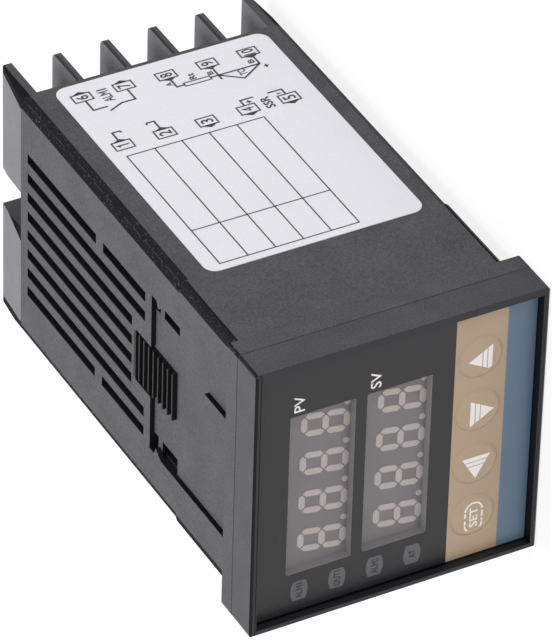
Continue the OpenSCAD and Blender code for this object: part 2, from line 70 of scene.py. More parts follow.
# three columns turn the camera, and the fourth is its place in metres
camera.matrix_world = Matrix((
    (0.02381221, 0.79757689, 0.60274712, 0.57941),
    (-0.47042092, 0.54093677, -0.69720268, -0.64057),
    (-0.88212082, -0.26694291, 0.38807775, 0.37280),
    (0, 0, 0, 1)))
scene.camera = camera


def add_node(tree, kind, settings=None, inputs=None):
    """Adds one node, gives it its settings, and fills its inputs with values or links."""
    node = tree.nodes.new(kind)
    for key, value in (settings or {}).items():
        setattr(node, key, value)
    for key, value in (inputs or {}).items():
        if isinstance(value, bpy.types.NodeSocket):
            tree.links.new(value, node.inputs[key])
        else:
            node.inputs[key].default_value = value
    return node


def linear(code):
    """An sRGB hex code as linear red, green, blue and alpha."""
    c = np.array([int(code[i:i + 2], 16) for i in (0, 2, 4)]) / 255
    c = np.where(c <= 0.04045, c / 12.92, ((c + 0.055) / 1.055) ** 2.4)
    return (float(c[0]), float(c[1]), float(c[2]), 1.0)


def seen_directly(tree):
    """One for rays from the camera, a mirror or a clear pane, and nought for diffuse light."""
    path = add_node(tree, "ShaderNodeLightPath")
    either = add_node(tree, "ShaderNodeMath", {"operation": "MAXIMUM"},
                      {0: path.outputs["Is Camera Ray"], 1: path.outputs["Is Glossy Ray"]})
    return add_node(tree, "ShaderNodeMath", {"operation": "MAXIMUM"},
                    {0: either.outputs[0], 1: path.outputs["Is Transmission Ray"]}).outputs[0]


world = bpy.data.worlds.new("white_room")
scene.world = world
world.use_nodes = True
world.node_tree.nodes.clear()
lit_level = 0.52  # how strongly the room lights the object; seen directly it is plain white, 1
strength = add_node(world.node_tree, "ShaderNodeMath", {"operation": "MULTIPLY_ADD"},
                    {0: seen_directly(world.node_tree), 1: 1 - lit_level, 2: lit_level})
sky = add_node(world.node_tree, "ShaderNodeBackground",
               inputs={"Color": (1, 1, 1, 1), "Strength": strength.outputs[0]})
add_node(world.node_tree, "ShaderNodeOutputWorld", inputs={"Surface": sky.outputs[0]})

# White paper: seen directly most of it glows plain white, and the rest shows a faint shadow.
floor_mat = bpy.data.materials.new("floor_white_paper")
floor_mat.use_nodes = True
floor_mat.node_tree.nodes.clear()
paper = add_node(floor_mat.node_tree, "ShaderNodeBsdfDiffuse", inputs={"Color": linear("f4f4f4")})
glow = add_node(floor_mat.node_tree, "ShaderNodeEmission", inputs={"Color": (1, 1, 1, 1), "Strength": 1.0})
shown = add_node(floor_mat.node_tree, "ShaderNodeMath", {"operation": "MULTIPLY"},
                 {0: seen_directly(floor_mat.node_tree), 1: 0.85})
floor_mix = add_node(floor_mat.node_tree, "ShaderNodeMixShader",
                     inputs={0: shown.outputs[0], 1: paper.outputs[0], 2: glow.outputs[0]})
add_node(floor_mat.node_tree, "ShaderNodeOutputMaterial", inputs={"Surface": floor_mix.outputs[0]})
floor_mesh = bpy.data.meshes.new("floor")
reach = 2.5
level = cad_box[0][2] - 0.00002  # just under the foot of the front
floor_mesh.from_pydata([(-reach, -reach, level), (reach, -reach, level),
                        (reach, reach, level), (-reach, reach, level)], [], [(0, 1, 2, 3)])
floor = bpy.data.objects.new("floor", floor_mesh)
floor_mesh.materials.append(floor_mat)
scene.collection.objects.link(floor)


def softbox(name, place, aim, size, watts, tint=(1.0, 1.0, 1.0)):
    """A square lamp at a place in metres, turned so that its light falls on the aim."""
    lamp = bpy.data.objects.new(name, bpy.data.lights.new(name, "AREA"))
    lamp.data.shape = "SQUARE"
    lamp.data.size = size
    lamp.data.energy = watts
    lamp.data.color = tint
    back = np.subtract(place, aim) / np.linalg.norm(np.subtract(place, aim))
    side = np.cross((0.0, 1.0, 0.01), back)
    side = side / np.linalg.norm(side)
    turn = np.eye(4)
    turn[:3, 0], turn[:3, 1], turn[:3, 2], turn[:3, 3] = side, np.cross(back, side), back, place
    lamp.matrix_world = Matrix(turn.tolist())
    scene.collection.objects.link(lamp)


case_middle = (0, 0.03, 0)
softbox("lamp_above", (0.04, 0.16, 0.95), case_middle, 0.8, 12.8, (1.0, 0.965, 1.0))
softbox("lamp_beside", (0.86, -0.40, 0.22), case_middle, 0.7, 1.6)

# ---------------------------------------------------------------- Case
# The case is one moulding of black ABS. The tool's faces were spark-eroded, which leaves a fine
# matt grain that scatters light. Its teeth are drawn smoother and darker, painted shade makes its slots,
# tooth gaps, inside and bevels nearly black, and a painted highlight runs along each bevel's ridge.


def finish(name, dull, bright, patch, grain, depth, rough, spread, **own):
    """A solid stuff: its colour goes from dull to bright half by patches some mm wide and half
    by grains, and its roughness and height follow the same grains, which are `grain` mm wide
    and `depth` mm deep. The constants in own go on the shader's own sockets."""
    made = bpy.data.materials.new(name)
    made.use_nodes = True
    made.node_tree.nodes.clear()
    tree = made.node_tree
    place = add_node(tree, "ShaderNodeTexCoord")
    drift = add_node(tree, "ShaderNodeTexNoise", None,
                     {"Vector": place.outputs["Object"], "Scale": 1000 / patch, "Detail": 3.0})
    grains = add_node(tree, "ShaderNodeTexNoise", None,
                      {"Vector": place.outputs["Object"], "Scale": 1000 / grain, "Detail": 2.0})
    specks = add_node(tree, "ShaderNodeMapRange", None, {0: grains.outputs[0], 1: 0.32, 2: 0.68})
    both = add_node(tree, "ShaderNodeMix", {"data_type": "FLOAT"},
                    {0: 0.5, 2: drift.outputs[0], 3: specks.outputs[0]})
    colour = add_node(tree, "ShaderNodeMix", {"data_type": "RGBA"},
                      {0: both.outputs[0], 6: linear(dull), 7: linear(bright)})
    rougher = add_node(tree, "ShaderNodeMapRange", None,
                       {0: grains.outputs[0], 3: rough - spread, 4: rough + spread})
    relief = add_node(tree, "ShaderNodeBump", None,
                      {"Height": grains.outputs[0], "Distance": depth / 1000, "Strength": 1.0})
    shader = add_node(tree, "ShaderNodeBsdfPrincipled", {"name": "shader"},
                      {"Base Color": colour.outputs[2], "Roughness": rougher.outputs[0],
                       "Normal": relief.outputs[0]})
    for socket, value in own.items():
        shader.inputs[socket.replace("_", " ")].default_value = value
    add_node(tree, "ShaderNodeOutputMaterial", None, {"Surface": shader.outputs[0]})
    return made


def dress(stuff, *nodes):
    """Puts a material on solids of the CAD model, in every slot that they have."""
    for node in nodes:
        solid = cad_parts[node]
        if not solid.material_slots:
            solid.data.materials.append(stuff)
        for place in solid.material_slots:
            place.material = stuff


def where(tree, socket, low=-1.0, high=2.0, mirrored=False, pitch=0.0):
    """One where a number lies between low and high. If mirrored its size does, and with a pitch
    its distance from the nearest multiple of the pitch. The defaults lie past every place in
    metres and every part of a normal."""
    if mirrored:
        socket = add_node(tree, "ShaderNodeMath", {"operation": "ABSOLUTE"}, {0: socket}).outputs[0]
    if pitch:
        socket = add_node(tree, "ShaderNodeMath", {"operation": "PINGPONG"},
                          {0: socket, 1: pitch / 2}).outputs[0]
    return add_node(tree, "ShaderNodeMath", {"operation": "COMPARE"},
                    {0: socket, 1: (low + high) / 2, 2: (high - low) / 2}).outputs[0]


def joined(tree, operation, *sockets):
    """All sockets taken together: MULTIPLY where all must hold, MAXIMUM where one is enough."""
    total = sockets[0]
    for socket in sockets[1:]:
        pair = add_node(tree, "ShaderNodeMath", {"operation": operation}, {0: total, 1: socket})
        total = pair.outputs[0]
    return total


def mould(stuff):
    """The three coordinates in metres and the three parts of the normal, both in the object's
    own axes, as two lists of sockets."""
    place = add_node(stuff.node_tree, "ShaderNodeTexCoord")
    spot = add_node(stuff.node_tree, "ShaderNodeSeparateXYZ", None, {0: place.outputs["Object"]})
    normal = add_node(stuff.node_tree, "ShaderNodeSeparateXYZ", None, {0: place.outputs["Normal"]})
    return list(spot.outputs), list(normal.outputs)


def polish(stuff, mask, tone, rough, calm=0.97):
    """Where the mask is one, the stuff takes another colour and roughness, and its relief falls
    by the share calm."""
    tree = stuff.node_tree
    shader = tree.nodes["shader"]
    colour = add_node(tree, "ShaderNodeMix", {"data_type": "RGBA"},
                      {0: mask, 6: shader.inputs["Base Color"].links[0].from_socket, 7: linear(tone)})
    tree.links.new(colour.outputs[2], shader.inputs["Base Color"])
    smooth = add_node(tree, "ShaderNodeMix", {"data_type": "FLOAT"},
                      {0: mask, 2: shader.inputs["Roughness"].links[0].from_socket, 3: rough})
    tree.links.new(smooth.outputs[0], shader.inputs["Roughness"])
    left = add_node(tree, "ShaderNodeMath", {"operation": "MULTIPLY_ADD"}, {0: mask, 1: -calm, 2: 1.0})
    tree.links.new(left.outputs[0], shader.inputs["Normal"].links[0].from_node.inputs["Strength"])


# Black ABS off a spark-eroded tool: its grain breaks the light into a matt grey. The real grain
# is under 0.1 mm, too fine to show, so it is drawn 0.32 mm wide.
case_abs = finish("abs_black_spark_eroded_case", "353538", "58585b", 6.0, 0.32, 0.05, 0.6, 0.10,
                  IOR=1.53, Specular_IOR_Level=0.1)
(x, y, z), (nx, ny, nz) = mould(case_abs)
tree = case_abs.node_tree
panel_side = 0.0001  # just behind the flange, in metres like all the places in these masks
case_half = 0.0223
bed_floor = 0.0215
collar_end = 0.0178
tooth_start, tooth_end, tooth_half = 0.0196, 0.0320, 0.0043
leaning = joined(tree, "MULTIPLY", where(tree, nx, 0.2, mirrored=True),
                 where(tree, nz, 0.2, mirrored=True))
# painted shade: the walls of the vent slots, the gaps between the teeth and the inside of the case are drawn
# near-black
slot_wall_shade = joined(tree, "MULTIPLY", where(tree, x, high=0.015, mirrored=True),
                    where(tree, nz, high=0.5, mirrored=True), where(tree, y, panel_side),
                    where(tree, z, bed_floor - 0.0001, case_half - 0.00002, True))
teeth = joined(tree, "MULTIPLY", where(tree, x, high=tooth_half, mirrored=True),
               where(tree, y, tooth_start, tooth_end))
tooth_gap_shade = joined(tree, "MULTIPLY", teeth, where(tree, z, high=case_half - 0.00015, mirrored=True))
inside = joined(tree, "MULTIPLY", where(tree, x, high=0.0213, mirrored=True),
                where(tree, z, high=bed_floor - 0.00005, mirrored=True))
polish(case_abs, teeth, "1e1e20", 0.45, 0.5)
polish(case_abs, joined(tree, "MAXIMUM", slot_wall_shade, tooth_gap_shade, inside), "1d1d1f", 0.5)
# painted shade: the bevels are drawn near-black
polish(case_abs, leaning, "0b0b0d", 0.5, 0.7)
# the half of each bevel beside the vents keeps the painted near-black shade and is made rough, so that no
# lamp shows in it
vent_half = joined(tree, "MULTIPLY", leaning, where(tree, nz, 0.6, mirrored=True))
polish(case_abs, vent_half, "0e0e10", 0.9, 0.7)
# a painted highlight 0.08 mm wide runs along the middle ridge of each bevel, and a coarse noise breaks it
case_places = tree.nodes["Texture Coordinate"].outputs["Object"]
size_x = add_node(tree, "ShaderNodeMath", {"operation": "ABSOLUTE"}, {0: x}).outputs[0]
size_z = add_node(tree, "ShaderNodeMath", {"operation": "ABSOLUTE"}, {0: z}).outputs[0]
offset = add_node(tree, "ShaderNodeMath", {"operation": "SUBTRACT"}, {0: size_x, 1: size_z}).outputs[0]
breaks = add_node(tree, "ShaderNodeTexNoise", None,
                  {"Vector": case_places, "Scale": 500.0, "Detail": 1.0}).outputs[0]
ridge_highlight = joined(tree, "MULTIPLY", leaning, where(tree, offset, -0.00021, -0.00013),
                 where(tree, breaks, 0.46))
polish(case_abs, ridge_highlight, "404044", 0.45)
# along the collar, whose bevels are smaller, painted shade reaches past them, by 0.3 mm on the sides and by
# 0.4 mm on the vents' faces
beside_bevel = joined(
    tree, "MAXIMUM",
    joined(tree, "MULTIPLY", where(tree, nx, 0.9, mirrored=True), where(tree, z, 0.0212, mirrored=True)),
    joined(tree, "MULTIPLY", where(tree, nz, 0.9, mirrored=True), where(tree, x, 0.0206, mirrored=True)))
collar_edge_shade = joined(tree, "MULTIPLY", beside_bevel, where(tree, y, panel_side, collar_end))
polish(case_abs, collar_edge_shade, "111113", 0.9, 0.7)
# dust from the tool leaves light specks of 0.2 mm on the bevels
specks = add_node(tree, "ShaderNodeTexNoise", None, {"Vector": case_places, "Scale": 2600.0}).outputs[0]
polish(case_abs, joined(tree, "MULTIPLY", leaning, where(tree, specks, 0.64)), "38383c", 0.7, 0.7)
dress(case_abs, "case")

# ---------------------------------------------------------------- Side label
# The wiring label is a white polyester sheet with a satin face, stuck to the case's side and
# printed in black ink, whose lines stand a few hundredths of a millimetre on it.

# White polyester: almost no grain, a faint drift of tone where the glue below lies thicker.
label_film = finish("polyester_label_white", "cdced3", "d5d6db", 9.0, 0.5, 0.003, 0.42, 0.05, IOR=1.57)
dress(label_film, "side_label")

# Black ink, screen-printed: satin, with the pinholes of the mesh as a slight change of grey.
black_ink = finish("ink_black_screen_printed", "1c1c20", "303036", 0.5, 0.12, 0.004, 0.5, 0.08, IOR=1.5)


def prism(outline, low, high):
    """A flat shape with a convex outline, given anticlockwise, between two heights: its points
    are repeated at both heights, with a wall between each two neighbours."""
    outline = np.asarray(outline, float)
    n = len(outline)
    points = np.vstack([np.c_[outline, np.full(n, low)], np.c_[outline, np.full(n, high)]])
    ring = np.arange(n)
    walls = np.c_[ring, np.roll(ring, -1), np.roll(ring, -1) + n, ring + n]
    return points, [list(ring[::-1]), list(ring + n)] + walls.tolist()


def stroke(path, width, low, high, closed=False):
    """A line of ink: each point of the path goes out to both sides by half the width along the
    mitre of its two neighbours, and the band between has the given heights."""
    path = np.asarray(path, float)
    step = np.roll(path, -1, 0) - path
    step = step / np.maximum(np.linalg.norm(step, axis=1, keepdims=True), 1e-9)
    before = np.roll(step, 1, 0)
    if not closed:
        step[-1] = before[-1]
        before[0] = step[0]
    left = np.c_[-step[:, 1], step[:, 0]] + np.c_[-before[:, 1], before[:, 0]]
    size = np.linalg.norm(left, axis=1, keepdims=True)
    left = left / size * (width / np.maximum(size, 0.6))
    n = len(path)
    flat = np.vstack([path - left, path + left])
    points = np.vstack([np.c_[flat, np.full(2 * n, low)], np.c_[flat, np.full(2 * n, high)]])
    a = np.arange(n if closed else n - 1)
    b = (a + 1) % n
    right_side, left_side, up = a, a + n, 2 * n
    faces = np.vstack([
        np.c_[right_side + up, b + up, b + n + up, left_side + up],
        np.c_[right_side, left_side, b + n, b],
        np.c_[right_side, b, b + up, right_side + up],
        np.c_[left_side, left_side + up, b + n + up, b + n]]).tolist()
    if not closed:
        faces += [[0, up, n + up, n], [n - 1, 2 * n - 1, 2 * n - 1 + up, n - 1 + up]]
    return points, faces


def letters(words, box, low, high, bold=0.0):
    """Plain sans letters, thickened by a part of their height, turned from text into a mesh and
    stretched to fill a box given as left, right, foot and head, between two heights."""
    curve = bpy.data.curves.new("words", "FONT")
    curve.body = words
    curve.size = 1.0
    curve.extrude = 0.5
    curve.offset = bold
    curve.resolution_u = 3
    writing = bpy.data.objects.new("words", curve)
    scene.collection.objects.link(writing)
    bpy.context.view_layer.update()
    mesh = bpy.data.meshes.new_from_object(writing.evaluated_get(bpy.context.evaluated_depsgraph_get()))
    tidied = bmesh.new()
    tidied.from_mesh(mesh)
    bmesh.ops.remove_doubles(tidied, verts=tidied.verts, dist=0.001)
    bmesh.ops.dissolve_degenerate(tidied, edges=tidied.edges, dist=0.001)
    tidied.to_mesh(mesh)
    tidied.free()
    points = np.empty(3 * len(mesh.vertices))
    mesh.vertices.foreach_get("co", points)
    points = points.reshape(-1, 3)
    faces = [list(p.vertices) for p in mesh.polygons]
    bpy.data.objects.remove(writing)
    bpy.data.meshes.remove(mesh)
    least, most = points.min(0), points.max(0)
    aim_low = np.array([box[0], box[2], low])
    aim_high = np.array([box[1], box[3], high])
    return (points - least) / (most - least) * (aim_high - aim_low) + aim_low, faces


def alarm_word(number, box, low, high, bold):
    """The word for an alarm: the M is a zigzag line between the two letters and the digit."""
    wide, tall = box[1] - box[0], box[3] - box[2]
    across = box[0] + wide * np.array([0.55, 0.55, 0.67, 0.79, 0.79])
    up = box[2] + tall * np.array([0.0, 0.94, 0.4, 0.94, 0.0])
    digit = box[0] + wide * (0.87 if number == "2" else 0.92)
    return [letters("AL", (box[0], box[0] + wide * 0.48, box[2], box[3]), low, high, bold),
            stroke(np.c_[across, up], tall * (0.11 + 2 * bold), low, high),
            letters(number, (digit, box[1], box[2], box[3]), low, high, bold)]


def piece(name, shapes, turn, stuff, body, smooth=False):
    """Joins shapes given in mm, turns each point by the three rows of turn and moves it, makes the
    piece's mesh in metres and lets it ride on its body."""
    points, faces, count = [], [], 0
    for corners, sides in shapes:
        points.append(corners)
        faces += [[i + count for i in side] for side in sides]
        count += len(corners)
    spots = np.vstack(points) @ np.asarray(turn[0], float) + np.asarray(turn[1], float)
    mesh = bpy.data.meshes.new(name)
    mesh.from_pydata((spots / 1000).tolist(), [], faces)
    mesh.polygons.foreach_set("use_smooth", np.full(len(mesh.polygons), smooth))
    mesh.materials.append(stuff)
    made = bpy.data.objects.new(name, mesh)
    scene.collection.objects.link(made)
    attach(made, body)
    return made


ink = (0.0, 0.025)  # foot and head of printed ink in mm
thin, fine, line = 0.20, 0.22, 0.30  # line widths in mm
label_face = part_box("side_label")[1][0] * 1000
# on the label a shape's first axis runs along +Y, its second along +Z, and its height along +X
on_label = (((0, 1, 0), (0, 0, 1), (1, 0, 0)), (label_face, 0, 0))

# five terminals across the label, in two rows: number, ends along Y, and place across
terminal_z = 14.25 - 6.98 * np.arange(5)
box_half, digit_half = 1.52, 1.0
marks = []
rear_row = [(str(k + 6), 64.3 if k < 2 else 64.0, 66.2 if k < 2 else 65.9, k) for k in range(5)]
front_row = [(str(k + 1), 50.65, 52.7, k) for k in range(5)]
for number, near, far, place in rear_row + front_row:
    z = terminal_z[place]
    foot, head = z - box_half, z + box_half
    marks.append(stroke([(near, foot), (far, foot), (far, head), (near, head)], 0.24, *ink, closed=True))
    wide = 0.75 if len(number) > 1 else 0.5
    middle = (near + far) / 2
    bold = 0.0 if number == "4" else 0.012  # the eye of the 4 would close
    if number == "1":
        stem = middle + 0.06
        path = [(middle - 0.32, z + 0.55), (stem, z + 0.9), (stem, z - digit_half)]
        marks.append(stroke(path, 0.26, *ink))
    else:
        box = (middle - wide, middle + wide, z - digit_half, z + digit_half)
        marks.append(letters(number, box, *ink, bold=bold))
    if place < 2:
        marks.append(prism([(far, z - 1.25), (far + 0.62, z), (far, z + 1.25)], *ink))
    else:
        marks.append(prism([(near, z + 1.25), (near - 0.68, z), (near, z - 1.25)], *ink))
# the wiring beside the boxes: contacts, sensors and their leads
wires = [
    [(64.2, 14.2), (61.58, 14.2), (61.58, 11.8)],
    [(64.2, 7.2), (61.5, 7.2), (61.5, 9.5)],
    [(60.4, 11.95), (61.5, 9.5)],
    [(63.4, 0.2), (61.5, 0.2), (61.5, -1.1)],
    [(61.5, -5.45), (61.5, -13.83)],
    [(63.4, -6.83), (60.3, -6.83)],
    [(61.5, -6.83), (59.1, -10.05), (61.5, -13.83)],
    [(63.4, -13.83), (61.4, -13.83)],
    [(53.2, 14.4), (55.13, 14.4), (55.13, 13.15), (54.7, 13.0)],
    [(53.2, 7.4), (55.13, 7.4), (55.13, 8.65), (54.7, 8.8)],
    [(52.6, -6.6), (54.17, -6.6), (54.17, -8.8)],
    [(52.6, -13.6), (54.1, -13.6), (54.1, -11.2)]]
marks += [stroke(wire, line, *ink) for wire in wires]
# the resistance sensor, then two plus signs and a minus sign
marks.append(stroke([(61.08, -1.1), (61.92, -1.1), (61.92, -5.45), (61.08, -5.45)], fine, *ink, closed=True))
arm = 0.42
for y, z in [(60.6, -14.5), (53.35, -7.65)]:
    marks.append(stroke([(y - arm, z), (y + arm, z)], fine, *ink))
    marks.append(stroke([(y, z - arm), (y, z + arm)], fine, *ink))
marks.append(stroke([(53.3, -13.05), (53.3, -12.35)], fine, *ink))
marks += alarm_word("1", (62.6, 66.0, 9.95, 11.6), *ink, bold=0.015)
for words, box in [("A", (62.1, 63.1, 0.45, 1.45)),
                   ("Rt", (62.2, 63.8, -3.6, -2.45)), ("B", (62.1, 63.0, -6.4, -5.45)),
                   ("B", (62.1, 63.1, -13.4, -12.4)), ("TC", (59.9, 61.3, -11.1, -9.8)),
                   ("SSR", (50.5, 53.5, -10.9, -9.35))]:
    marks.append(letters(words, box, *ink, bold=0.022))
# the empty table: five rows and two columns
left, right, foot, head = 19.25, 48.9, -7.9, 15.1
marks.append(stroke([(left, foot), (right, foot), (right, head), (left, head)], thin, *ink, closed=True))
for z in (10.46, 5.92, 1.33, -3.29):
    marks.append(stroke([(left, z), (right, z)], thin, *ink))
marks.append(stroke([(28.17, foot), (28.17, head)], thin, *ink))
piece("label_print", marks, on_label, black_ink, "case")

# ---------------------------------------------------------------- Terminal block
# A glass-filled moulding closes the case behind and parts the wires with combs of fins. Its
# walls are smoother and lighter than the case, its ends towards ±X carry painted shade, and its small bevels
# are painted black as shade.
block_abs = finish("abs_black_satin_terminals", "5c5c5f", "717174", 4.0, 0.3, 0.03, 0.5, 0.08,
                   IOR=1.53, Specular_IOR_Level=0.12)
(x, y, z), (nx, ny, nz) = mould(block_abs)
tree = block_abs.node_tree
leaning = joined(tree, "MULTIPLY", where(tree, nx, 0.2, mirrored=True),
                 where(tree, nz, 0.2, mirrored=True))
# painted shade: the faces towards ±X are drawn darker, and the bevels darker still
polish(block_abs, where(tree, nx, 0.6, mirrored=True), "424245", 0.45, 0.5)
polish(block_abs, leaning, "2e2e31", 0.7, 0.7)
# only on the outer fins are the bevels painted as dark with shade as on the case
outer = where(tree, z, 0.0207, mirrored=True)
polish(block_abs, joined(tree, "MULTIPLY", leaning, outer), "0b0b0d", 0.9, 0.7)
# painted shade reaches 1.5 mm onto the outer fins, to a line that leans 0.115 mm a mm
size_x = add_node(tree, "ShaderNodeMath", {"operation": "ABSOLUTE"}, {0: x}).outputs[0]
slant = add_node(tree, "ShaderNodeMath", {"operation": "MULTIPLY_ADD"},
                 {0: y, 1: -0.115, 2: size_x}).outputs[0]
case_end = 0.06965
fin_edge_shade = joined(tree, "MULTIPLY", where(tree, nz, 0.9, mirrored=True), where(tree, slant, 0.01198),
                  where(tree, y, case_end), outer)
polish(block_abs, fin_edge_shade, "0b0b0d", 0.9, 0.7)
dress(block_abs, "terminal_block")

# Terminal plates are pressed brass, tinned: a soft grey with the streaks of rolling along them.
tinned = finish("brass_tinned", "b9b7b0", "cfcdc6", 1.5, 0.08, 0.004, 0.36, 0.1, Metallic=1.0)
dress(tinned, "terminal_plates", "edge_contacts")

# Clamp washers and screws are zinc-plated steel, passivated clear: bright, a little blue.
zinc = finish("steel_zinc_plated", "b2b6bb", "cacdd1", 1.2, 0.1, 0.005, 0.28, 0.1, Metallic=1.0)
dress(zinc, "clamp_washers")
# The same steel in the screws, with painted shade in their cross slots. The slots are 0.7 mm wide,
# and the masks reach a little past them.
slotted = finish("steel_zinc_plated_screws", "b2b6bb", "cacdd1", 1.2, 0.1, 0.005, 0.28, 0.1,
                 Metallic=1.0)
(x, y, z), (nx, ny, nz) = mould(slotted)
tree = slotted.node_tree
screw_x, screw_pitch = 0.013, 0.0081
half_length, half_width = 0.0018, 0.00037
along_x, along_z = (
    joined(tree, "MULTIPLY", where(tree, x, screw_x - half_x, screw_x + half_x, True),
           where(tree, z, high=half_z, pitch=screw_pitch))
    for half_x, half_z in ((half_length, half_width), (half_width, half_length)))
cross = joined(tree, "MAXIMUM", along_x, along_z)
in_head = where(tree, y, 0.0712, 0.07285)
# painted shade in the cross slots
polish(slotted, joined(tree, "MULTIPLY", cross, in_head), "2e3033", 0.6, 0.0)
dress(slotted, "terminal_screws")

# ---------------------------------------------------------------- Bezel and overlay film
# The bezel is black ABS from the same tool finish as the case; painted shade makes the inside of its
# rim and its bevels near-black. The film on it is a sheet of polycarbonate, printed behind: black, then a
# tan and a blue band.
bezel_abs = finish("abs_black_spark_eroded_bezel", "2f2f32", "4e4e51", 6.0, 0.32, 0.045, 0.55, 0.08,
                   IOR=1.53, Specular_IOR_Level=0.16)
(x, y, z), (nx, ny, nz) = mould(bezel_abs)
tree = bezel_abs.node_tree
front_rim = where(tree, y, high=-0.00857)
rim_half = 0.02315
within = joined(tree, "MULTIPLY", where(tree, x, high=rim_half, mirrored=True),
                where(tree, z, high=rim_half, mirrored=True), where(tree, ny, high=0.5, mirrored=True))
corners = joined(tree, "MULTIPLY", where(tree, nx, 0.25, mirrored=True),
                 where(tree, nz, 0.25, mirrored=True))
long_bevels = joined(tree, "MULTIPLY", where(tree, ny, 0.3, 0.95, True), where(tree, nz, 0.3, 0.95, True))
polish(bezel_abs, front_rim, "363639", 0.55, 0.5)
# painted shade: the rim's inner walls, its corners and its long bevels are drawn near-black
polish(bezel_abs, joined(tree, "MAXIMUM", within, corners, long_bevels), "050506", 0.35)
# painted light: the lower wall is drawn lighter as lit, and painted shade stays only as a thin black line at
# its foot and at the upper wall's edge
lit_wall = joined(tree, "MULTIPLY", within, where(tree, nx, 0.5), where(tree, y, high=-0.0077))
polish(bezel_abs, lit_wall, "232325", 0.45)
upper_edge_shadow = joined(tree, "MULTIPLY", front_rim, where(tree, z, 0.0231, 0.02328))
polish(bezel_abs, upper_edge_shadow, "0a0a0b", 0.45)
dress(bezel_abs, "bezel")

# A thin gasket of black rubber lies between the front and the flange and closes the seam.
rubber = finish("nitrile_black_gasket", "38383b", "454548", 3.0, 0.2, 0.01, 0.7, 0.05, IOR=1.52,
                Specular_IOR_Level=0.15)
flange_front = -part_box("case")[0][1] * 1000
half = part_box("case")[1][0] * 1000 - np.array([0.02, 0.03])


def frame_ring(outer, inner, low, high, cut):
    """A ring with four sides and cut corners: outside and inside it has a half width and half
    height, at two levels, with walls between them."""
    loops = []
    for (half_x, half_z), level in ((outer, low), (outer, high), (inner, high), (inner, low)):
        quarter = [(half_x - cut, -half_z), (half_x, cut - half_z),
                   (half_x, half_z - cut), (half_x - cut, half_z)]
        loops += [(x, z, level) for x, z in quarter] + [(-x, -z, level) for x, z in quarter]
    k = np.arange(8)
    after = (k + 1) % 8
    rows = [np.c_[k + 8 * a, after + 8 * a, after + 8 * b, k + 8 * b]
            for a, b in ((0, 1), (1, 2), (2, 3), (3, 0))]
    return np.array(loops), np.vstack(rows).tolist()


# on the front a shape's first axis runs along +X, its second along +Z, and its height along -Y
to_front = ((1, 0, 0), (0, 0, 1), (0, -1, 0))
gasket_width, gasket_corner = 0.8, 0.6
piece("seam_gasket",
      [frame_ring(half, half - gasket_width, flange_front + 0.06, flange_front + 0.28, gasket_corner)],
      (to_front, (0, 0, 0)), rubber, "chassis")

# Black polycarbonate, finely matted: smoother than the moulding round it, with hardly any grain.
film = finish("polycarbonate_film_matt", "17171a", "262629", 5.0, 0.3, 0.012, 0.46, 0.06,
              IOR=1.58, Specular_IOR_Level=0.36)


def band(stuff, foot, head, dull, bright):
    """Between two heights in mm the sheet takes another printed colour, with a slight drift."""
    tree = stuff.node_tree
    shader = tree.nodes["shader"]
    place = add_node(tree, "ShaderNodeTexCoord")
    spot = add_node(tree, "ShaderNodeSeparateXYZ", None, {0: place.outputs["Object"]})
    inside = add_node(tree, "ShaderNodeMath", {"operation": "COMPARE"},
                      {0: spot.outputs[2], 1: (foot + head) / 2000, 2: (head - foot) / 2000})
    drift = add_node(tree, "ShaderNodeTexNoise", None,
                     {"Vector": place.outputs["Object"], "Scale": 140.0, "Detail": 3.0})
    colour = add_node(tree, "ShaderNodeMix", {"data_type": "RGBA"},
                      {0: drift.outputs[0], 6: linear(dull), 7: linear(bright)})
    was = shader.inputs["Base Color"].links[0].from_socket
    laid = add_node(tree, "ShaderNodeMix", {"data_type": "RGBA"},
                    {0: inside.outputs[0], 6: was, 7: colour.outputs[2]})
    tree.links.new(laid.outputs[2], shader.inputs["Base Color"])


blue_head, tan_head = -18.05, -9.48
band(film, blue_head, tan_head, "aa947a", "b49e84")
band(film, -23.0, blue_head, "596f84", "637b8e")
dress(film, "overlay_film")

# ---------------------------------------------------------------- Printed marks on the film
# White ink marks the two rows, the setting key and the three arrow keys. Each arrow is a
# triangle cut by two narrow gaps, and the setting key's word stands in a broken outline.
white_ink = finish("ink_white_screen_printed", "e6e2df", "f2eeec", 0.8, 0.12, 0.003, 0.5, 0.06, IOR=1.5)
film_face = -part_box("overlay_film")[0][1] * 1000
on_film = (to_front, (0, -film_face, 0))
row_marks = [letters("PV", (14.05, 16.85, 15.15, 16.88), *ink, bold=0.007),
             letters("SV", (14.1, 16.95, 2.7, 4.45), *ink, bold=0.007)]
piece("film_print", row_marks, on_film, white_ink, "chassis")

# ---------------------------------------------------------------- Displays
# Two four-digit displays: a grey printed face and unlit bars of milky epoxy with a warm cast.
# The panes before them are tinted acrylic with a light haze, and a grey foil lines the openings.
face_grey = finish("ink_grey_display_face", "7d7878", "898484", 3.0, 0.2, 0.004, 0.6, 0.06, IOR=1.5)
dress(face_grey, "pv_display", "sv_display")
milky = finish("epoxy_milky_segments", "d6cac5", "e2d6d0", 1.2, 0.15, 0.003, 0.45, 0.05, IOR=1.52)
dress(milky, "pv_segments", "sv_segments")
clear = finish("acrylic_hazy_pane", "8c8a8c", "949294", 3.0, 0.5, 0.001, 0.22, 0.05, IOR=1.49, Alpha=0.16)
dress(clear, "pv_window", "sv_window")
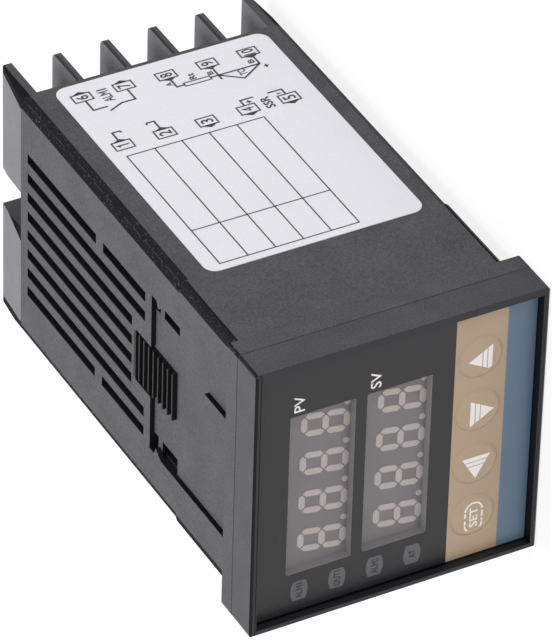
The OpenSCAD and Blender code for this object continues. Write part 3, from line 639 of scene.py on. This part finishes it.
# Grey polyester foil, satin: a strip 0.06 mm thick stands beside three edges of each window.
foil = finish("polyester_grey_foil", "7d7b7b", "8b8989", 2.0, 0.25, 0.004, 0.5, 0.05, IOR=1.58)
(x, y, z), (nx, ny, nz) = mould(foil)
# painted light: the strip under each window, facing up, is drawn lighter as lit
polish(foil, where(foil.node_tree, nz, 0.5), "979494", 0.5)
inner, outer = 0.02, 0.08
for row in ("pv", "sv"):
    low, high = (np.array(corner) * 1000 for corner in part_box(row + "_window"))
    near, far = -low[1] - 0.05, -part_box(row + "_display")[0][1] * 1000 + 0.04
    left, right, foot, head = low[0], high[0], low[2], high[2]
    lining = [
        prism([(left - outer, foot - inner), (left - inner, foot - inner),
               (left - inner, head - 0.1), (left - outer, head - 0.1)], far, near),
        prism([(left - inner, foot - outer), (right - 0.1, foot - outer),
               (right - 0.1, foot - inner), (left - inner, foot - inner)], far, near),
        prism([(left + 0.2, head + inner), (right - 0.2, head + inner),
               (right - 0.2, head + outer), (left + 0.2, head + outer)], near - 0.2, near)]
    piece(row + "_lining", lining, (to_front, (0, 0, 0)), foil, "chassis")

# ---------------------------------------------------------------- Lamp lenses
# Four smoky light guides end behind the film. Over each, the film carries a patch of grey ink
# that lets light through, straight at its sides and bowed above and below, with a dark word.
diffuser = finish("polycarbonate_smoky_lens", "4c4c4f", "58585b", 1.5, 0.2, 0.004, 0.4, 0.06, IOR=1.58)
dress(diffuser, "lamp_lenses")
grey_ink = finish("ink_smoky_over_lamps", "4f4f52", "5b5b5e", 1.2, 0.16, 0.004, 0.42, 0.06, IOR=1.5)
dark_ink = finish("ink_dark_on_lenses", "101012", "1a1a1d", 0.6, 0.12, 0.003, 0.5, 0.05, IOR=1.5)
lens_low, lens_high = (np.array(corner) * 1000 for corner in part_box("lamp_lenses"))


def bowed(x, z, half_x, half_z, bow):
    """A patch with straight sides; above and below it bows out by a parabola over its width."""
    t = np.linspace(-1, 1, 13)
    head = half_z - bow * t ** 2
    return np.vstack([np.c_[x + half_x * t, z - head], np.c_[x + half_x * t[::-1], z + head]])


lamp_pitch = 6.275
x = lens_low[0] + 1.8
patch_x = x - 0.2
surround_head, patch_head, word_head = 0.008, 0.016, 0.028  # one layer lies on another
surrounds, patches, words = [], [], []
for place, name in enumerate(("1", "OUT1", "2", "AT")):
    z = lens_high[2] - 1.45 - lamp_pitch * place
    half = 0.75 if name == "AT" else 1.4
    surrounds.append(prism(bowed(x, z, 1.98, 1.62, 0.0), 0, surround_head))
    patches.append(prism(bowed(patch_x, z - 0.22, 1.76, 1.42, 0.42), surround_head, patch_head))
    box = (patch_x - half, patch_x + half, z - 0.78, z + 0.32)
    if name in "12":
        words += alarm_word(name, box, patch_head, word_head, bold=0.015)
    else:
        words.append(letters(name, box, patch_head, word_head, bold=0.015))
piece("lens_surround", surrounds, on_film, film, "chassis")
piece("lens_patch", patches, on_film, grey_ink, "chassis")
piece("lens_words", words, on_film, dark_ink, "chassis")

# ---------------------------------------------------------------- Keys
# Each key is a dome pressed into the film over a switch: a flat middle inside a raised ring,
# which falls to the film at its edge. Its white mark is printed on the tan.
# Embossed polycarbonate in the same tan.
key_film = finish("polycarbonate_film_tan_keys", "aa947a", "b6a083", 4.0, 0.16, 0.006, 0.44, 0.06,
                  IOR=1.58, Specular_IOR_Level=0.4)


def dome(node, name):
    """A turned pad: over the radius r, as a share of the rim, the height is a flat middle at two
    thirds, a cosine ring with its crest at 0.86, and a cosine fall to the rim. The grid of angle
    and radius is closed at both of its middles. Gives the pad's middle and its flat's height."""
    low, high = (np.array(corner) * 1000 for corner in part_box(node))
    middle = (low + high) / 2
    rim = (high[0] - low[0]) / 2
    crest, dip = 0.86, 0.34
    r = np.r_[np.linspace(0.04, 0.66, 5), np.linspace(0.68, 1.0, 17)]
    swell = 0.5 + 0.5 * np.cos(np.clip((r - crest) / (1 - crest), -1, 1) * np.pi)
    level = np.where(r < crest, 1 - dip + dip * swell, swell)
    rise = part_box("overlay_film")[0][1] * 1000 - low[1]
    front = low[1] + rise * (1 - level)
    back = low[1] + rise + 0.4
    y = np.r_[front, back, back]
    radius = np.r_[r, 1.0, 0.04] * (rim + 0.03)
    angle = np.linspace(0, 2 * np.pi, 72, endpoint=False)
    x = middle[0] + np.outer(np.cos(angle), radius)
    z = middle[2] + np.outer(np.sin(angle), radius)
    points = np.stack([x, np.broadcast_to(y, x.shape), z], -1).reshape(-1, 3)
    n, m = x.shape
    i, j = np.meshgrid(np.arange(n), np.arange(m - 1), indexing="ij")
    i, j = i.ravel(), j.ravel()
    after = (i + 1) % n
    faces = np.c_[i * m + j, i * m + j + 1, after * m + j + 1, after * m + j].tolist()
    faces += [[int(k) for k in np.arange(n) * m], [int(k) for k in (np.arange(n) * m + m - 1)[::-1]]]
    pad = piece(name, [(points, faces)], (np.eye(3), (0, 0, 0)), key_film, node, smooth=True)
    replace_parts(pad, node)
    return middle, low[1] + rise * dip


def arrow(tip, base, half):
    """A triangle from a tip to the middle of its base, cut by two gaps across its length into a
    point and two stripes, each a flat shape whose sides lie on the triangle's sides."""
    tip, base = np.array(tip, float), np.array(base, float)
    along = base - tip
    side = np.array([-along[1], along[0]]) / np.linalg.norm(along) * half
    shapes = []
    for start, end in ((0.0, 0.57), (0.61, 0.775), (0.815, 1.0)):
        a, b = tip + along * start, tip + along * end
        outline = [a + side * start, a - side * start, b - side * end, b + side * end]
        shapes.append(outline[1:] if start == 0 else outline)
    return [prism(s, *ink) for s in shapes]


# the setting key's outline: half circles at both ends, and two dashes above and two below
set_outline = []
radius, outline_width = 1.42, 0.27
bend = np.linspace(np.pi / 2, 3 * np.pi / 2, 15)
left_end = np.c_[-16.0 + radius * np.cos(bend), -13.11 + radius * np.sin(bend)]
right_end = np.c_[-13.42 - radius * np.cos(bend), -13.11 + radius * np.sin(bend)][::-1]
for path in (left_end, right_end):
    set_outline.append(stroke(path, outline_width, *ink))
for start, end, z in ((-15.78, -15.04, -11.69), (-14.52, -13.69, -11.69),
                      (-15.78, -15.2, -14.53), (-14.94, -13.79, -14.53)):
    set_outline.append(stroke([(start, z), (end, z)], outline_width, *ink))
set_outline.append(letters("SET", (-16.5, -12.9, -13.8, -12.42), *ink, bold=0.012))
key_marks = {
    "key_set": set_outline,
    "key_shift": arrow((-7.33, -13.05), (-3.32, -13.05), 2.33),
    "key_down": arrow((4.85, -15.65), (4.85, -11.67), 2.3),
    "key_up": arrow((14.5, -10.95), (14.5, -14.9), 2.25)}
# all four marks go a little left and down from the places given above
mark_x, mark_z = -1.02, -0.68
for node, shapes in key_marks.items():
    middle, face_y = dome(node, node + "_pad")
    piece(node + "_mark", shapes, (to_front, (mark_x, face_y, mark_z)), white_ink, node)

# ---------------------------------------------------------------- Circuit boards
# The boards are glass cloth in epoxy, cut on all sides, with a green mask over copper tracks.
# The wires of the tall parts pass through, and their solder stands as small cones behind.
mask = finish("glass_epoxy_green_mask", "1b5532", "236a3c", 2.0, 0.5, 0.01, 0.35, 0.08, IOR=1.55)
(x, y, z), (nx, ny, nz) = mould(mask)
tree = mask.node_tree
# tracks 0.3 mm wide and 1.27 mm apart run one way or the other in square cells of about 9 mm
cells = add_node(tree, "ShaderNodeTexVoronoi", {"distance": "CHEBYCHEV"},
                 {"Vector": tree.nodes["Texture Coordinate"].outputs["Object"], "Scale": 110.0,
                  "Randomness": 0.8})
way = add_node(tree, "ShaderNodeSeparateXYZ", None, {0: cells.outputs["Color"]}).outputs[0]
track_pitch, track_half = 0.00127, 0.00015
for axis, least, most in ((y, 0.0, 0.45), (z, 0.55, 1.0)):
    tracks = joined(tree, "MULTIPLY", where(tree, axis, high=track_half, pitch=track_pitch),
                    where(tree, way, least, most))
    polish(mask, tracks, "3d9258", 0.3, 0.6)
# the cut edges show the bare glass and epoxy
polish(mask, where(tree, nx, high=0.5, mirrored=True), "8f9a5a", 0.6, 0.0)
dress(mask, "power_board", "logic_board")
# The front board's tracks lie on its other face.
plain_mask = finish("glass_epoxy_green_front", "1b5532", "236a3c", 2.0, 0.5, 0.01, 0.35, 0.08, IOR=1.55)
dress(plain_mask, "front_board")

# Tin and lead: brighter than the tinned brass, and a little uneven.
solder = finish("solder_tin_lead", "b4b6b8", "cfd1d2", 0.8, 0.2, 0.01, 0.3, 0.08, Metallic=1.0)


def cones(spots, face_x, height):
    """One fillet of solder a spot: three rings of ten points, with a radius of 0.85 mm at the
    board, 0.45 mm at two fifths of the height and 0.3 mm at the wire's end, closed at both ends."""
    n = 10
    angle = np.linspace(0, 2 * np.pi, n, endpoint=False)
    ring = np.arange(n)
    after = (ring + 1) % n
    ends = [list(range(n))[::-1], list(range(2 * n, 3 * n))]
    if height < 0:
        ring, after = after, ring
        ends = [end[::-1] for end in ends]
    sides = np.vstack([np.c_[ring + k, after + k, after + k + n, ring + k + n] for k in (0, n)])
    for spot in spots:
        rows = [np.c_[np.full(n, face_x + height * level), spot[0] + radius * np.cos(angle),
                      spot[1] + radius * np.sin(angle)]
                for level, radius in ((0.0, 0.85), (0.4, 0.45), (1.0, 0.3))]
        yield np.vstack(rows), sides.tolist() + ends


def corners_of(node, inset):
    """The four corners of a part as seen along X, moved in by the inset."""
    low, high = (np.array(corner) * 1000 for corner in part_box(node))
    return [(y, z) for y in (low[1] + inset, high[1] - inset) for z in (low[2] + inset, high[2] - inset)]


# pins of the front header and of the contacts behind, then the parts' wires, by Y and Z in mm
header_pins = [(2.5, -13.2 + 2.4 * k) for k in range(12)]
contact_pins = [(61.5, -15.4 + 7.7 * k) for k in range(5)]
power_spots = header_pins + corners_of("transformer_winding", 1.2) + corners_of("bridge_rectifier", 1.3)
power_spots += corners_of("alarm_relay", 1.8) + corners_of("output_relay", 1.8)
power_spots += [(31.5, -13.5), (31.5, -8.5), (7.5, -13.0), (14.7, -13.0), (52.6, 4.0), (57.4, 7.0)]
power_spots += contact_pins
logic_spots = header_pins + [(14.5, 11.0), (21.5, 11.0)] + contact_pins
# the two boards are mirror images: their parts face each other, and their solder the case
solder_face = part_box("power_board")[1][0] * 1000
as_drawn = (np.eye(3), (0, 0, 0))
piece("power_solder", cones(power_spots, solder_face, 0.55), as_drawn, solder, "chassis")
piece("logic_solder", cones(logic_spots, -solder_face, -0.55), as_drawn, solder, "chassis")

# Clear epoxy of the lamps, which looks pale and a little warm when they are off.
led_epoxy = finish("epoxy_clear_led", "c9c4b8", "d8d3c8", 1.0, 0.3, 0.004, 0.3, 0.05, IOR=1.5)
dress(led_epoxy, "indicator_leds")
# Black nylon, moulded and dull.
switch_black = finish("nylon_black_switches", "262628", "303033", 1.5, 0.2, 0.006, 0.5, 0.06, IOR=1.53)
dress(switch_black, "key_switches", "board_headers")

# ---------------------------------------------------------------- Power parts
# The transformer is a winding taped in yellow inside a stack of steel sheets 0.5 mm thick. The
# capacitors wear a black sleeve with a pale stripe, and their aluminium ends stay bare. The
# moulded parts have their edges cut.


def chamfered(low, high, cut):
    """A block with its edges cut at 45 degrees: each corner gives three points, one on each face
    it meets, drawn in by the cut along that face. Six sides, twelve edges and eight corners are
    wound to face away from the middle."""
    low, high = np.asarray(low, float), np.asarray(high, float)
    middle, half = (low + high) / 2, (high - low) / 2
    signs = np.array([(i, j, k) for i in (-1, 1) for j in (-1, 1) for k in (-1, 1)])
    points = np.vstack([middle + sign * (half - cut * (np.arange(3) != axis))
                        for sign in signs for axis in range(3)])
    faces = [[3 * c, 3 * c + 1, 3 * c + 2] for c in range(8)]
    for axis in range(3):
        a, b = (axis + 1) % 3, (axis + 2) % 3
        step = 4 >> np.arange(3)
        for sign in (0, 1):
            faces.append([3 * (sign * step[axis] + u * step[a] + v * step[b]) + axis
                          for u, v in ((0, 0), (1, 0), (1, 1), (0, 1))])
        for u, v in ((0, 0), (1, 0), (1, 1), (0, 1)):
            near = 3 * (u * step[a] + v * step[b])
            far = near + 3 * step[axis]
            faces.append([near + a, far + a, far + b, near + b])
    wound = []
    for face in faces:
        p = points[face]
        outward = np.cross(p[1] - p[0], p[2] - p[0]) @ (p.mean(0) - middle) > 0
        wound.append([int(k) for k in (face if outward else face[::-1])])
    return points, wound


def moulded(node, stuff, cut, parts=1, length=0.0):
    """Chamfered blocks take the node's place: one over its box, or several of one length, spread
    evenly along Y."""
    low, high = (np.array(corner) * 1000 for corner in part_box(node))
    blocks = []
    for start in np.linspace(low[1], high[1] - length, parts) if length else [low[1]]:
        end = start + length if length else high[1]
        blocks.append(chamfered((low[0], start, low[2]), (high[0], end, high[2]), cut))
    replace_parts(piece(node + "_moulded", blocks, as_drawn, stuff, "chassis"), node)


# Silicon steel, punched and oxidised: grey, with a dark line at each joint of two sheets.
core_steel = finish("silicon_steel_laminations", "5d5f63", "74767a", 0.8, 0.15, 0.01, 0.45, 0.1,
                    Metallic=1.0)
(x, y, z), (nx, ny, nz) = mould(core_steel)
tree = core_steel.node_tree
sheet, joint_half = 0.0005, 0.00004
polish(core_steel, where(tree, z, high=joint_half, pitch=sheet), "1c1c1f", 0.6)
dress(core_steel, "transformer_core")
tape = finish("polyester_tape_yellow", "c8a62c", "d7b73e", 3.0, 0.3, 0.008, 0.35, 0.06, IOR=1.6)
(x, y, z), (nx, ny, nz) = mould(tape)
tree = tape.node_tree
lap, lap_half = 0.0042, 0.0001
polish(tape, where(tree, x, high=lap_half, pitch=lap), "96791c", 0.5)
moulded("transformer_winding", tape, 0.7)
# Shrunk PVC: black and fairly glossy.
sleeve = finish("pvc_sleeve_black", "1d1e24", "282a31", 3.0, 0.3, 0.004, 0.3, 0.05, IOR=1.53)
(x, y, z), (nx, ny, nz) = mould(sleeve)
tree = sleeve.node_tree
polish(sleeve, where(tree, nz, 0.86), "b9bbc2", 0.35)  # the pale stripe
polish(sleeve, where(tree, nx, 0.9, mirrored=True), "a9abad", 0.3)  # the bare ends
dress(sleeve, "mains_capacitor", "output_capacitors")
# Blue polyester, with a dark seam between a relay's base and its cover.
relay_blue = finish("pbt_blue_relay", "1f4f86", "295c96", 3.0, 0.2, 0.006, 0.35, 0.05, IOR=1.57)
(x, y, z), (nx, ny, nz) = mould(relay_blue)
cover_seam = where(relay_blue.node_tree, x, 0.0142, 0.0143)
polish(relay_blue, cover_seam, "0d2747", 0.6)
moulded("alarm_relay", relay_blue, 0.45)
moulded("output_relay", relay_blue, 0.45)
# Black epoxy, moulded: a fine dull grain.
epoxy_black = finish("epoxy_black_chips", "232325", "2d2d30", 1.0, 0.1, 0.006, 0.55, 0.08, IOR=1.55)
moulded("bridge_rectifier", epoxy_black, 0.4)
moulded("controller_chip", epoxy_black, 0.25)
moulded("analog_chips", epoxy_black, 0.25, 3, 5.0)
# Tan lacquer, dipped, with four rings of colour.
lacquer = finish("lacquer_tan_resistors", "c6a779", "d4b687", 1.0, 0.2, 0.006, 0.4, 0.06, IOR=1.5)
(x, y, z), (nx, ny, nz) = mould(lacquer)
tree = lacquer.node_tree
ring_width = 0.0005
for start, tone in ((0.0530, "6b3f1f"), (0.0541, "26262a"), (0.0552, "a3312b"), (0.0566, "b08a36")):
    polish(lacquer, where(tree, y, start, start + ring_width), tone, 0.4, 0.0)
dress(lacquer, "power_resistors")
# Drawn nickel silver: pale and smooth.
can = finish("nickel_silver_can", "c2c4c4", "d2d4d4", 1.5, 0.1, 0.003, 0.25, 0.06, Metallic=1.0)
dress(can, "crystal")
# The brace is moulded in dark grey ABS.
brace_abs = finish("abs_natural_brace", "3a3a3d", "454548", 4.0, 0.3, 0.01, 0.5, 0.06, IOR=1.53)
dress(brace_abs, "board_brace")

# ---------------------------------------------------------------- Chip legs and small parts
# The chips are soldered flat on the logic board: each leg is a bent strip of tinned copper, a
# foot on the board, a slope, and a shoulder against the body. Small resistors lie between.


def leg(foot, direction, width):
    """A strip 0.12 mm thick along a bent profile: its points go out from the chip's side by
    0.9, 0.45, 0.35 and 0 mm, and its underside stands 0.02, 0.02, 0.5 and 0.5 mm off the board."""
    out = np.array([0.9, 0.45, 0.35, 0.0])
    off = np.array([0.02, 0.02, 0.5, 0.5])
    across = np.array([-direction[1], direction[0]]) * width / 2
    rows = []
    for side, lift in ((1, 0.0), (-1, 0.0), (-1, 0.12), (1, 0.12)):
        flat = np.asarray(foot) + np.outer(out, direction) + side * across
        rows.append(np.c_[logic_face + off + lift, flat])
    k = np.arange(3)
    faces = np.vstack([np.c_[k + 4 * a, k + 4 * b, k + 4 * b + 1, k + 4 * a + 1]
                       for a, b in ((0, 1), (1, 2), (2, 3), (3, 0))]).tolist()
    return np.vstack(rows), faces + [[12, 8, 4, 0], [3, 7, 11, 15]]


logic_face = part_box("logic_board")[1][0] * 1000
legs = []
low, high = (np.array(corner) * 1000 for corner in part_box("controller_chip"))
middle_y, middle_z = (low[1] + high[1]) / 2, (low[2] + high[2]) / 2
for k in range(11):
    along = -4.0 + 0.8 * k
    legs.append(leg((high[1], middle_z + along), (1, 0), 0.35))
    legs.append(leg((low[1], middle_z + along), (-1, 0), 0.35))
    legs.append(leg((middle_y + along, high[2]), (0, 1), 0.35))
    legs.append(leg((middle_y + along, low[2]), (0, -1), 0.35))
low, high = (np.array(corner) * 1000 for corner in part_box("analog_chips"))
for start in (low[1], (low[1] + high[1]) / 2 - 2.5, high[1] - 5):
    for k in range(4):
        y = start + 0.6 + 1.27 * k
        legs.append(leg((y, high[2]), (0, 1), 0.4))
        legs.append(leg((y, low[2]), (0, -1), 0.4))
piece("chip_legs", legs, as_drawn, solder, "chassis")

# Black glaze on ceramic. The chips are 2 mm long and start at even places, so their tinned ends,
# 0.22 mm long, come every 2 mm along Y.
ceramic = finish("ceramic_chip_resistors", "1b1b1d", "2a2a2c", 1.0, 0.2, 0.004, 0.4, 0.05, IOR=1.55)
(x, y, z), (nx, ny, nz) = mould(ceramic)
polish(ceramic, where(ceramic.node_tree, y, high=0.00022, pitch=0.002), "bfc1c3", 0.3)
chips = []
for y0, z0 in ((28, -9), (28, -6), (28, 6), (28, 9), (36, -14), (40, -14), (44, -14), (36, 12), (40, 12),
               (44, 12), (52, -10), (52, 10), (10, -10), (10, -13), (26, 14), (56, 4), (56, -4)):
    chips.append(prism([(y0, z0 - 0.6), (y0 + 2, z0 - 0.6), (y0 + 2, z0 + 0.6), (y0, z0 + 0.6)], 0.02, 0.5))
piece("chip_resistors", chips, (on_label[0], (logic_face, 0, 0)), ceramic, "chassis")
